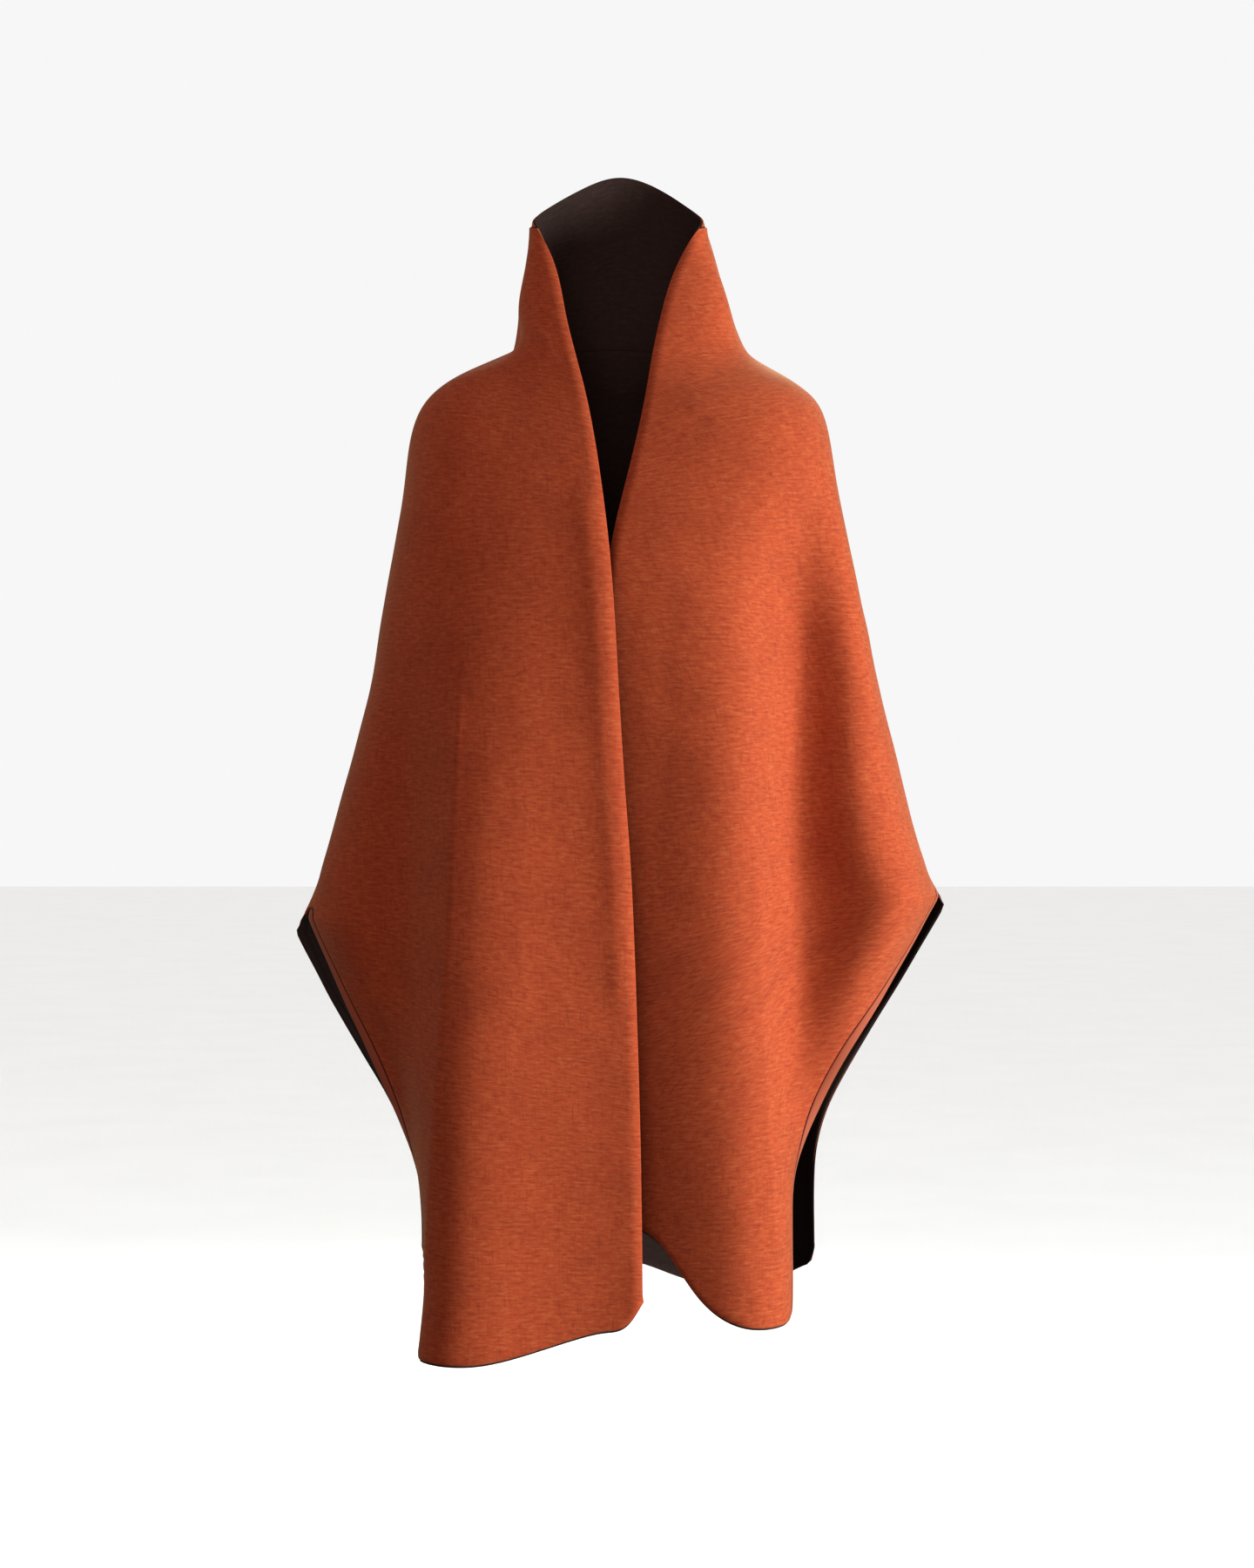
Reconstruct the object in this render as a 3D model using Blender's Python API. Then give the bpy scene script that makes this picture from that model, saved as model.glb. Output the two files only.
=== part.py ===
"""Reversible wool cape with a tall cut-on collar, in its worn, filled-out form. Metres, +Z up.

+X is the wearer's left, -Y the front. The origin lies midway between the two neck points,
where the shoulder line carries the cape. Each cut piece is two cloths: a rust face and a
dark brown lining, which is what makes the cape reversible.
"""

from collections import namedtuple

import bmesh
import bpy
import numpy as np

MM = 0.001

# Cloth, in millimetres.
FACE_CLOTH = 1.4
LINING_CLOTH = 1.3
BETWEEN_CLOTHS = 0.3
SEAM_GAP = 0.3
LINING_SHOWS = 2.5
SMOOTH_ANGLE = 0.7

# Sections of the inside of the fronts from the collar's top down, in millimetres. Each point is
# (out from the centre, depth, height) or (out, depth), and heights between the edge and the
# arm line are shared out by GUIDE_SHARE. "arm_line" runs up the side of the collar, along the
# shoulder and over the arm to the wrist. Below the wrist it is the panel's open side edge.
Front = namedtuple("Front", "name edge breast ridge valley arm arm_line")
GUIDE_SHARE = (0.0, 0.3, 0.55, 0.75, 0.88, 1.0)

RIGHT_FRONT = (
    Front("collar top", (79, -8, 124), (80, -4), (82, 2), (83, 9), (82, 16), (79, 22, 129)),
    Front("collar upper", (64, -22, 91), (72, -17), (79, -11), (83, -5), (85, 6), (84, 18, 97)),
    Front("collar lower", (52, -46, 39), (66, -39), (79, -30), (88, -18), (92, -3), (92, 13, 45)),
    Front("neck", (42, -67, -4), (62, -57), (81, -45), (93, -29), (98, -10), (98, 10, 8)),
    Front("shoulder", (33, -86, -40), (66, -71), (102, -54), (131, -39), (149, -20), (154, 5, -18)),
    Front("shoulder point", (26, -103, -75), (70, -88), (115, -71), (152, -52), (176, -28), (184, 0, -45)),
    Front("armpit", (17, -124, -134), (75, -111), (129, -94), (170, -73), (191, -43), (200, 1, -115)),
    Front("bust", (9, -142, -205), (77, -131), (136, -113), (182, -84), (205, -54), (215, 3, -205)),
    Front("under bust", (3, -153, -300), (78, -144), (141, -130), (188, -94), (215, -66), (230, 3, -300)),
    Front("waist", (-3, -155, -400), (79, -152), (144, -140), (193, -94), (227, -74), (253, -6, -392)),
    Front("elbow", (-9, -156, -485), (80, -155), (146, -147), (197, -97), (239, -78), (275, -19, -474)),
    Front("wrist", (-12, -157, -555), (80, -158), (147, -151), (201, -98), (247, -80), (288, -31, -522)),
    Front("hip", (-16, -158, -671), (80, -160), (150, -157), (186, -116), (210, -88), (232, -74, -639)),
    Front("thigh", (-18, -160, -765), (76, -161), (157, -156), (174, -131), (180, -108), (181, -88, -755)),
    Front("above hem", (-19, -161, -845), (72, -162), (163, -158), (172, -141), (172, -124), (168, -104, -840)),
    Front("below hem", (-20, -161, -945), (70, -163), (175, -162), (184, -145), (182, -128), (177, -112, -945)),
)
LEFT_FRONT = (
    Front("collar top", (75, -8, 124), (76, -4), (78, 2), (79, 9), (78, 16), (75, 22, 129)),
    Front("collar upper", (57, -20, 91), (67, -18), (76, -14), (83, -7), (86, 4), (85, 18, 97)),
    Front("collar lower", (40, -43, 39), (60, -41), (79, -37), (95, -27), (101, -9), (101, 13, 45)),
    Front("neck", (31, -58, -4), (60, -56), (87, -50), (107, -37), (118, -16), (118, 10, 4)),
    Front("shoulder", (25, -72, -40), (63, -73), (104, -68), (138, -53), (157, -28), (160, 5, -22)),
    Front("shoulder point", (18, -86, -75), (67, -89), (117, -85), (156, -68), (179, -38), (185, 0, -45)),
    Front("armpit", (4, -106, -134), (70, -111), (127, -104), (169, -82), (192, -58), (199, 1, -115)),
    Front("bust", (-10, -120, -205), (68, -129), (118, -116), (167, -78), (200, -73), (217, 3, -205)),
    Front("under bust", (-14, -124, -300), (68, -139), (114, -130), (169, -77), (209, -88), (238, 3, -300)),
    Front("waist", (-14, -125, -400), (68, -146), (113, -141), (165, -89), (215, -105), (260, -6, -392)),
    Front("elbow", (-14, -124, -485), (68, -150), (113, -147), (165, -99), (228, -119), (279, -19, -466)),
    Front("wrist", (-12, -125, -545), (70, -153), (114, -150), (165, -106), (238, -125), (295, -30, -502)),
    Front("hip", (-9, -123, -660), (74, -155), (117, -153), (162, -109), (189, -105), (212, -99, -636)),
    Front("thigh", (-7, -120, -765), (76, -155), (119, -156), (146, -133), (155, -112), (158, -92, -752)),
    Front("above hem", (-6, -118, -845), (78, -153), (121, -156), (145, -138), (153, -117), (155, -99, -838)),
    Front("below hem", (-6, -117, -945), (80, -153), (121, -157), (142, -142), (149, -122), (151, -104, -945)),
)

# Sections of the back, on the same levels and alike on both sides. The arm and blade guides
# are (share of the arm line's reach, depth), the others are points as in the fronts.
Back = namedtuple("Back", "arm blade ridge centre")
BACK_SHARE = (0.0, 0.15, 0.42, 0.75, 1.0)
BACK = (
    Back((1.02, 38), (0.86, 57), (40, 79), (0, 90, 189)),
    Back((1.02, 35), (0.87, 56), (43, 78), (0, 88, 146)),
    Back((0.99, 31), (0.85, 55), (46, 76), (0, 84, 78)),
    Back((0.99, 29), (0.86, 55), (50, 75), (0, 80, 20)),
    Back((0.96, 30), (0.75, 65), (60, 85), (0, 87, -28)),
    Back((0.97, 31), (0.78, 71), (68, 97), (0, 98, -76)),
    Back((0.98, 37), (0.81, 78), (80, 110), (0, 110, -134)),
    Back((0.98, 44), (0.82, 83), (94, 118), (0, 119, -205)),
    Back((0.96, 48), (0.81, 84), (116, 119), (0, 124, -300)),
    Back((0.94, 43), (0.78, 78), (130, 119), (0, 126, -400)),
    Back((0.92, 32), (0.74, 72), (138, 120), (0, 127, -485)),
    Back((0.90, 16), (0.70, 68), (142, 121), (0, 127, -555)),
    Back((0.93, 42), (0.81, 76), (146, 121), (0, 128, -665)),
    Back((0.97, 78), (0.91, 98), (142, 124), (0, 129, -765)),
    Back((0.98, 93), (0.92, 109), (138, 127), (0, 130, -845)),
    Back((0.98, 98), (0.92, 113), (134, 129), (0, 130, -945)),
)
# The open side edges of the back, from the wrist down.
BACK_SIDE_RIGHT = ((302, -17, -536), (249, 23, -643), (195, 62, -757), (188, 78, -842), (182, 84, -945))
BACK_SIDE_LEFT = ((303, -17, -511), (219, 34, -664), (185, 66, -757), (184, 78, -842), (178, 84, -945))

# Hem heights over x, in the cape's frame, and the rounding of each corner at a side edge.
RIGHT_HEM = ((-180, -916), (-129, -917), (-87, -909), (-39, -895), (-12, -889), (8, -881), (20, -862))
LEFT_HEM = ((-8, -790), (19, -801), (38, -814), (55, -837), (71, -859), (97, -880), (123, -887), (160, -885))
BACK_HEM = ((-185, -860), (-150, -882), (-110, -891), (-55, -880), (0, -864),
            (55, -880), (110, -891), (150, -882), (185, -860))
CORNER_ROUND = 14

NECK_LEVEL = 3
WRIST_LEVEL = 11
COLLAR_ROWS = 5
BODY_ROWS = 14
SHOULDER_CROWDING = 1.4
SKIRT_ROWS = 8
RING_BLEND = 60.0
HEM_HALVINGS = 30
CORNER_LEVEL_SHARE = 0.67

# Where the grid's columns fall between two guides.
FRONT_STEPS = ((0.08, 0.24, 0.5, 0.75, 1.0), (0.34, 0.67, 1.0), (0.34, 0.67, 1.0), (0.5, 1.0), (0.45, 0.8, 1.0))
BACK_STEPS = ((0.5, 1.0), (0.5, 1.0), (0.5, 1.0), (0.25, 0.5, 0.75, 1.0))

RUST = "#BE5434"
RUST_ROUGHNESS = 0.9
DARK_BROWN = "#2A1A18"
DARK_BROWN_ROUGHNESS = 0.92


def clear_scene():
    for item in list(bpy.data.objects):
        bpy.data.objects.remove(item, do_unlink=True)


def linear_colour(hex_code):
    """The linear RGBA of an sRGB hex code."""
    channels = [int(hex_code[i:i + 2], 16) / 255 for i in (1, 3, 5)]
    return [c / 12.92 if c <= 0.04045 else ((c + 0.055) / 1.055) ** 2.4 for c in channels] + [1.0]


def cloth_material(name, hex_code, roughness):
    material = bpy.data.materials.new(name)
    material.use_nodes = True
    shader = material.node_tree.nodes["Principled BSDF"]
    shader.inputs["Base Color"].default_value = linear_colour(hex_code)
    shader.inputs["Roughness"].default_value = roughness
    shader.inputs["Metallic"].default_value = 0.0
    return material


def spline(knots, points, queries):
    """Natural cubic spline through points at the knots, read at the queries."""
    knots, points, queries = (np.asarray(a, dtype=float) for a in (knots, points, queries))
    count = len(knots)
    step = np.diff(knots)
    slope = np.diff(points, axis=0) / step[:, None]
    system = np.eye(count)
    right = np.zeros_like(points)
    for i in range(1, count - 1):
        system[i, i - 1:i + 2] = step[i - 1], 2 * (step[i - 1] + step[i]), step[i]
        right[i] = 6 * (slope[i] - slope[i - 1])
    bend = np.linalg.solve(system, right)
    cell = np.clip(np.searchsorted(knots, queries) - 1, 0, count - 2)
    width = step[cell][:, None]
    after = (queries - knots[cell])[:, None]
    before = width - after
    return (
        (bend[cell] * before ** 3 + bend[cell + 1] * after ** 3) / (6 * width)
        + (points[cell] / width - bend[cell] * width / 6) * before
        + (points[cell + 1] / width - bend[cell + 1] * width / 6) * after
    )


def chords(points):
    """Distance along a row of points."""
    return np.concatenate(([0.0], np.cumsum(np.linalg.norm(np.diff(points, axis=0), axis=1))))


def curve_height(table, x):
    """Height of a hem at x."""
    xs, zs = np.array(table, dtype=float).T
    return spline(xs, zs[:, None], [np.clip(x, xs[0], xs[-1])])[0, 0]


def front_guides(table, side):
    """Guide points of one front, as an array of levels by guides by xyz."""
    rows = []
    for row in table:
        points = []
        for share, point in zip(GUIDE_SHARE, row[1:]):
            height = row.edge[2] + share * (row.arm_line[2] - row.edge[2])
            points.append((side * point[0], point[1], height))
        rows.append(points)
    return np.array(rows, dtype=float)


def back_guides(arm_lines):
    """Guide points of the back from the right arm line over the centre to the left one."""
    rows = []
    for level, row in enumerate(BACK):
        halves = []
        for side, arm_line in zip((-1, 1), arm_lines):
            reach, depth, top = arm_line[level]
            line = [(reach, depth), (row.arm[0] * reach, row.arm[1]), (row.blade[0] * reach, row.blade[1])]
            line += [row.ridge, row.centre[:2]]
            halves.append([
                (side * out, y, top + share * (row.centre[2] - top))
                for share, (out, y) in zip(BACK_SHARE, line)
            ])
        rows.append(halves[0] + halves[1][-2::-1])
    return np.array(rows, dtype=float)


def column_places(steps):
    """Column positions in guide numbers, such as 2.5 for midway between guides 2 and 3."""
    return np.array([0.0] + [guide + part for guide, parts in enumerate(steps) for part in parts])


class Drape:
    """One panel's surface, read by level (in millimetres down the cloth) and guide number."""

    def __init__(self, guides, knots, ring, ring_start):
        self.guides = guides
        self.knots = knots
        self.ring = ring
        self.ring_start = ring_start

    def row(self, level, places):
        """Points of the section at one level."""
        open_row = read_places(section(self.guides, self.knots, level, 0), places)
        wrist = self.knots[WRIST_LEVEL]
        if level >= wrist:
            return open_row
        ring_guides = section(self.ring, self.knots, level, len(GUIDE_SHARE) - 1)
        ring_row = read_places(ring_guides, places + self.ring_start)
        weight = min(1.0, (wrist - level) / RING_BLEND)
        weight = weight * weight * (3 - 2 * weight)
        return open_row + weight * (ring_row - open_row)

    def point(self, level, place):
        return self.row(level, np.array([place]))[0]


def section(guides, knots, level, arm_line):
    """Guide points at one level. The arm lines, counted from both ends, turn sharply at the
    neck points and at the wrists, so their splines stop there."""
    flat = guides.reshape(len(knots), -1)
    points = spline(knots, flat, [level]).reshape(-1, 3)
    corners = (0, NECK_LEVEL, WRIST_LEVEL, len(knots) - 1)
    for first, last in zip(corners, corners[1:]):
        if knots[first] <= level <= knots[last]:
            stretch = slice(first, last + 1)
            for guide in (arm_line, -1 - arm_line):
                points[guide] = spline(knots[stretch], guides[stretch, guide], [level])[0]
    return points


def read_places(guides, places):
    """Spline through one section's guides, read at guide numbers."""
    knots = chords(guides)
    return spline(knots, guides, np.interp(places, np.arange(len(knots)), knots))


def corner_lift(distance, radius):
    """How far a round corner lifts the hem at a distance from the side edge."""
    reach = max(0.0, radius - distance)
    return radius - np.sqrt(radius ** 2 - reach ** 2)


def hem_level(drape, place, hem, edge_distance):
    """The level at which a column meets the hem."""
    low, high = drape.knots[WRIST_LEVEL], drape.knots[-1]
    for _ in range(HEM_HALVINGS):
        middle = (low + high) / 2
        x, _, z = drape.point(middle, place)
        goal = curve_height(hem, x) + corner_lift(edge_distance, CORNER_ROUND)
        if z > goal:
            low = middle
        else:
            high = middle
    return low


def panel_grid(drape, places, levels, hem, open_sides):
    """Points of a panel: full rows down to the wrist, then rows that stop at the hem."""
    upper = [drape.row(level, places) for level in levels]
    wrist = drape.knots[WRIST_LEVEL]
    low_row = drape.row(wrist + CORNER_LEVEL_SHARE * (drape.knots[-1] - wrist), places)
    along = chords(low_row)
    ends = []
    for column, place in enumerate(places):
        near = [along[column]] * open_sides[0] + [along[-1] - along[column]] * open_sides[1]
        ends.append(hem_level(drape, place, hem, min(near)))
    lower = []
    for step in range(1, SKIRT_ROWS + 1):
        row_levels = wrist + (np.array(ends) - wrist) * step / SKIRT_ROWS
        lower.append([drape.point(level, place) for level, place in zip(row_levels, places)])
    return np.array(upper + lower)


def outward_normals(grid):
    """Unit normals of a grid of points, pointing out of the cape."""
    down = np.gradient(grid, axis=0)
    across = np.gradient(grid, axis=1)
    normal = np.cross(across, down)
    return normal / np.linalg.norm(normal, axis=2, keepdims=True)


def share_seam(first, first_column, second, second_column, rows):
    """Gives two panels the same normals along the seam that joins them."""
    both = first[rows, first_column] + second[rows, second_column]
    both /= np.linalg.norm(both, axis=1, keepdims=True)
    first[rows, first_column] = both
    second[rows, second_column] = both


def pull_back(grid, column, inner, distance):
    """Moves a border column a little into its panel, so that a seam stays open."""
    way = grid[:, inner] - grid[:, column]
    grid[:, column] += distance * way / np.linalg.norm(way, axis=1, keepdims=True)


def raise_hem(values, shares):
    """Draws the last row of a grid, or of its normals, back towards the row above it."""
    raised = values.copy()
    raised[-1] += shares[:, None] * (values[-2] - values[-1])
    return raised


def add_cloth(name, grid, normals, start, thickness, material):
    """A closed cloth wall, from start to start + thickness outside the grid's surface."""
    rows, columns = grid.shape[:2]
    mesh_data = bmesh.new()
    faces = []
    for height in (start + thickness, start):
        points = (grid + normals * height) * MM
        faces.append([[mesh_data.verts.new(points[i, j]) for j in range(columns)] for i in range(rows)])
    front, rear = faces
    for i in range(rows - 1):
        for j in range(columns - 1):
            for sheet in (front, rear):
                mesh_data.faces.new((sheet[i][j], sheet[i + 1][j], sheet[i + 1][j + 1], sheet[i][j + 1]))
    rim = [(0, j) for j in range(columns)] + [(i, columns - 1) for i in range(1, rows)]
    rim += [(rows - 1, j) for j in range(columns - 2, -1, -1)] + [(i, 0) for i in range(rows - 2, 0, -1)]
    for (i, j), (k, l) in zip(rim, rim[1:] + rim[:1]):
        mesh_data.faces.new((front[i][j], front[k][l], rear[k][l], rear[i][j]))
    bmesh.ops.recalc_face_normals(mesh_data, faces=mesh_data.faces)
    mesh = bpy.data.meshes.new(name)
    mesh_data.to_mesh(mesh)
    mesh_data.free()
    mesh.materials.append(material)
    mesh.shade_smooth()
    mesh.set_sharp_from_angle(angle=SMOOTH_ANGLE)
    bpy.context.scene.collection.objects.link(bpy.data.objects.new(name, mesh))


def add_both_cloths(name, grid, normals, hem_shares, cloths):
    """The face cloth and its lining, which hangs a little lower."""
    face, face_normals = raise_hem(grid, hem_shares), raise_hem(normals, hem_shares)
    add_cloth(name, face, face_normals, LINING_CLOTH + BETWEEN_CLOTHS, FACE_CLOTH, cloths["face"])
    add_cloth(name + "_lining", grid, normals, 0.0, LINING_CLOTH, cloths["lining"])


def upper_levels(knots):
    """Levels of the rows from the collar's top to the wrist, which all panels share."""
    neck, wrist = knots[NECK_LEVEL], knots[WRIST_LEVEL]
    collar = np.linspace(0.0, neck, COLLAR_ROWS + 1)
    body = neck + (wrist - neck) * np.linspace(0.0, 1.0, BODY_ROWS + 1) ** SHOULDER_CROWDING
    return np.concatenate((collar, body[1:]))


def build_cape(cloths):
    right = front_guides(RIGHT_FRONT, -1)
    left = front_guides(LEFT_FRONT, 1)
    arm_lines = []
    for front, side in ((RIGHT_FRONT, BACK_SIDE_RIGHT), (LEFT_FRONT, BACK_SIDE_LEFT)):
        arm_lines.append([row.arm_line for row in front[:WRIST_LEVEL]] + list(side))
    back = back_guides(arm_lines)
    ring = np.concatenate((right, back[:, 1:-1], left[:, ::-1]), axis=1)
    gaps = np.linalg.norm(np.diff(ring, axis=0), axis=2).mean(axis=1)
    knots = np.concatenate(([0.0], np.cumsum(gaps)))

    levels = upper_levels(knots)
    front_places = column_places(FRONT_STEPS)
    half = column_places(BACK_STEPS)
    back_places = np.concatenate((half, 2 * half[-1] - half[-2::-1]))
    last_guide = len(GUIDE_SHARE) - 1
    left_start = ring.shape[1] - 1 - last_guide
    drapes = {
        "front_right": Drape(right, knots, ring, 0),
        "front_left": Drape(left[:, ::-1], knots, ring, left_start),
        "back": Drape(back, knots, ring, last_guide),
    }
    places = {
        "front_right": front_places,
        "front_left": last_guide - front_places[::-1],
        "back": back_places,
    }
    hems = {"front_right": RIGHT_HEM, "front_left": LEFT_HEM, "back": BACK_HEM}
    open_sides = {"front_right": (0, 1), "front_left": (1, 0), "back": (1, 1)}

    seam_rows = np.arange(COLLAR_ROWS + BODY_ROWS)
    grids = {
        name: panel_grid(drape, places[name], levels, hems[name], open_sides[name])
        for name, drape in drapes.items()
    }
    normals = {name: outward_normals(grid) for name, grid in grids.items()}
    share_seam(normals["front_right"], -1, normals["back"], 0, seam_rows)
    share_seam(normals["back"], -1, normals["front_left"], 0, seam_rows)
    for name, column, inner in (("front_right", -1, -2), ("back", 0, 1), ("back", -1, -2), ("front_left", 0, 1)):
        pull_back(grids[name], column, inner, SEAM_GAP / 2)
    neck_row = grids["back"][COLLAR_ROWS]
    above = grids["back"][COLLAR_ROWS - 1]
    collar = grids["back"][:COLLAR_ROWS + 1].copy()
    collar[-1] += SEAM_GAP * (above - neck_row) / np.linalg.norm(above - neck_row, axis=1, keepdims=True)
    collar_normals = normals["back"][:COLLAR_ROWS + 1]
    add_both_cloths("collar_back", collar, collar_normals, np.zeros(collar.shape[1]), cloths)
    grids["back"] = grids["back"][COLLAR_ROWS:]
    normals["back"] = normals["back"][COLLAR_ROWS:]
    for name, grid in grids.items():
        last_step = np.linalg.norm(grid[-1] - grid[-2], axis=1)
        add_both_cloths(name, grid, normals[name], LINING_SHOWS / last_step, cloths)


clear_scene()
build_cape({
    "face": cloth_material("rust_brushed_wool", RUST, RUST_ROUGHNESS),
    "lining": cloth_material("dark_brown_wool", DARK_BROWN, DARK_BROWN_ROUGHNESS),
})
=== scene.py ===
# %% [markdown]
# The piece is a reversible wool cape, photographed filled out with nobody in it. Two brushed wool
# cloths, rust outside and dark brown inside, lie back to back and are stitched along the open
# sides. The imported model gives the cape's place and size, so it is loaded first and never changed.

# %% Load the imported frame
import math
from collections import namedtuple

import bmesh
import bpy
import numpy as np
from mathutils import Matrix, Vector


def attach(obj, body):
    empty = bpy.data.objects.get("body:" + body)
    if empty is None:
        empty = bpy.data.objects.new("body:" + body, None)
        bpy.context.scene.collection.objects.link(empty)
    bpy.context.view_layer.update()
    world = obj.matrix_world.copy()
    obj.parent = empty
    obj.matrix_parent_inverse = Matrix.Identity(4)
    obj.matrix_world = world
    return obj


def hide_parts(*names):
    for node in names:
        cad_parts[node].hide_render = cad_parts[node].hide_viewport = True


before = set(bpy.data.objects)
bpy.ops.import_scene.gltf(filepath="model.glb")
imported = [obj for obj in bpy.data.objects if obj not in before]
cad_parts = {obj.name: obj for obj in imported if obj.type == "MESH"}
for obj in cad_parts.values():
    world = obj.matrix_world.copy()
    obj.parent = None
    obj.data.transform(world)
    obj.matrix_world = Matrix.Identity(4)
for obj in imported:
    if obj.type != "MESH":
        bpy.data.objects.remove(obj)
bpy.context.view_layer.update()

MM = 0.001
print("CAD nodes:", sorted(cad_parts))

# %% [markdown]
# The photograph was taken straight from the front at waist height, with a fairly long lens, so
# upright folds stay upright. The camera stands 3.2 m away and looks level along +Y. Its lens is
# chosen so that one photo pixel is 0.82 mm at the shoulders.

# %% Camera
CAMERA_DISTANCE = 3.2
CAMERA_ACROSS = 0.0066
CAMERA_HEIGHT = -0.398
PHOTO_HEIGHT_PX = 1800
PHOTO_MM_PER_PX = 0.82
FILM_HEIGHT_MM = 36.0

camera_data = bpy.data.cameras.new("photo_camera")
camera_data.sensor_width = FILM_HEIGHT_MM
camera_data.lens = FILM_HEIGHT_MM * CAMERA_DISTANCE / (PHOTO_HEIGHT_PX * PHOTO_MM_PER_PX * MM)
camera = bpy.data.objects.new("photo_camera", camera_data)
camera.location = (CAMERA_ACROSS, -CAMERA_DISTANCE, CAMERA_HEIGHT)
camera.rotation_euler = (math.radians(90), 0, 0)
bpy.context.scene.collection.objects.link(camera)
bpy.context.scene.camera = camera
print(f"lens {camera_data.lens:.1f} mm")

# %% [markdown]
# Blender works in linear light, while colours read off a screen are sRGB hex codes, so one
# function turns them. Two small functions add a shader node, set its values and link its inputs,
# which keeps the backdrop and every material below a short list of steps.

# %% Colour and node helpers
def linear(hex_code):
    channels = [int(hex_code[i:i + 2], 16) / 255 for i in (1, 3, 5)]
    return [c / 12.92 if c <= 0.04045 else ((c + 0.055) / 1.055) ** 2.4 for c in channels] + [1.0]


def set_inputs(tree, node, inputs):
    """Gives each input its value, or links it where the value is another node's output."""
    for socket, value in inputs.items():
        if isinstance(value, bpy.types.NodeSocket):
            tree.links.new(value, node.inputs[socket])
        else:
            node.inputs[socket].default_value = value


def add_node(tree, kind, inputs, **settings):
    node = tree.nodes.new(kind)
    for key, value in settings.items():
        setattr(node, key, value)
    set_inputs(tree, node, inputs)
    return node


print("white in linear light:", linear("#FFFFFF"))

# %% [markdown]
# The light in the photograph comes almost level from the viewer's right, about 67 degrees round
# from the lens, like a tall window. It makes the folds that face it glow and leaves those that
# face away dark. One big soft lamp does this. A weak lamp at the lens reaches into the neck, and a
# weak fill high above it lights the tops of the shoulders. A pale reflector at the viewer's left,
# a little behind the cape, lifts the far rim, and a lamp behind shows the back from the other
# sides. Daylight is a little cooler than what the room throws back, so lit ridges look paler than
# hollows. The lens itself sees a pale backdrop instead of the weak glow.

# %% Light
CAPE_MIDDLE = (0, 0, -0.42)
GLOW = 0.06
BACKDROP = 0.93


def round_the_cape(degrees, reach, height):
    """A place at an angle round from the lens, towards the viewer's right."""
    angle = math.radians(degrees)
    return (reach * math.sin(angle), -reach * math.cos(angle), height)


# Each lamp is a square: where it stands and how wide it is, in metres, its power and its tint.
Lamp = namedtuple("Lamp", "name place size watts tint")
LAMPS = (
    Lamp("window_light", round_the_cape(67, 3.4, -0.45), 1.5, 198.0, "#EEFFFF"),
    Lamp("fill", round_the_cape(-25, 2.0, 2.3), 1.6, 24.0, "#FFF0EC"),
    Lamp("lens_lamp", camera.location, 1.0, 8.0, "#FFF0EC"),
    Lamp("reflector", round_the_cape(-105, 3.0, 0.7), 2.0, 9.0, "#FFFFFF"),
    Lamp("back_lamp", round_the_cape(170, 3.0, 1.0), 2.0, 40.0, "#FFFFFF"),
)
for lamp in LAMPS:
    lamp_data = bpy.data.lights.new(lamp.name, "AREA")
    lamp_data.size = lamp.size
    lamp_data.energy = lamp.watts
    lamp_data.color = linear(lamp.tint)[:3]
    stand = bpy.data.objects.new(lamp.name, lamp_data)
    stand.location = lamp.place
    stand.rotation_euler = (Vector(CAPE_MIDDLE) - Vector(lamp.place)).to_track_quat("-Z", "Y").to_euler()
    bpy.context.scene.collection.objects.link(stand)
bpy.context.scene.view_settings.view_transform = "Standard"
world = bpy.data.worlds.new("studio_glow")
world.use_nodes = True
world_tree = world.node_tree
world_tree.nodes.clear()
seen = add_node(world_tree, "ShaderNodeLightPath", {})
glow = add_node(world_tree, "ShaderNodeBackground", {"Color": linear("#FFFFFF"), "Strength": GLOW})
backdrop = add_node(world_tree, "ShaderNodeBackground", {"Color": linear("#FFFFFF"), "Strength": BACKDROP})
either = add_node(
    world_tree, "ShaderNodeMixShader",
    {0: seen.outputs["Is Camera Ray"], 1: glow.outputs[0], 2: backdrop.outputs[0]},
)
add_node(world_tree, "ShaderNodeOutputWorld", {"Surface": either.outputs[0]})
bpy.context.scene.world = world
print("lamps:", [lamp.name for lamp in LAMPS], "glow", GLOW, "backdrop", BACKDROP)

# %% [markdown]
# The rust side is a woollen coating: thick soft yarn, woven, then fulled and brushed until the
# weave nearly disappears under a short nap. What is left to see is a heathered ground with fine
# streaks along the weft. Four noises on the cloth's own UV map, which is in metres, draw this: thin
# weft streaks, short specks of lighter and darker fibre, weaker streaks with the warp, and broad
# cloudy wear. Each stains the ground towards a deeper or a paler dye.

# %% Noises and stains of the wool
# Each noise has features of about this width and height on the cloth, in millimetres.
Noise = namedtuple("Noise", "size_mm detail roughness")
NOISES = {
    "streaks": Noise((13.0, 2.2), 3.0, 0.62),
    "specks": Noise((6.0, 3.4), 2.0, 0.6),
    "warp": Noise((2.4, 20.0), 2.0, 0.5),
    "clouds": Noise((45.0, 60.0), 2.0, 0.5),
}
# Each stain begins at one value of its noise and is full at another, where it mixes in its most.
Stain = namedtuple("Stain", "noise towards begins full most")
STAINS = (
    Stain("streaks", "deep", 0.49, 0.31, 0.55),
    Stain("streaks", "pale", 0.53, 0.70, 0.55),
    Stain("specks", "pale", 0.54, 0.74, 0.45),
    Stain("specks", "deep", 0.46, 0.27, 0.50),
    Stain("warp", "deep", 0.55, 0.75, 0.40),
    Stain("clouds", "deep", 0.45, 0.75, 0.25),
)


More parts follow.
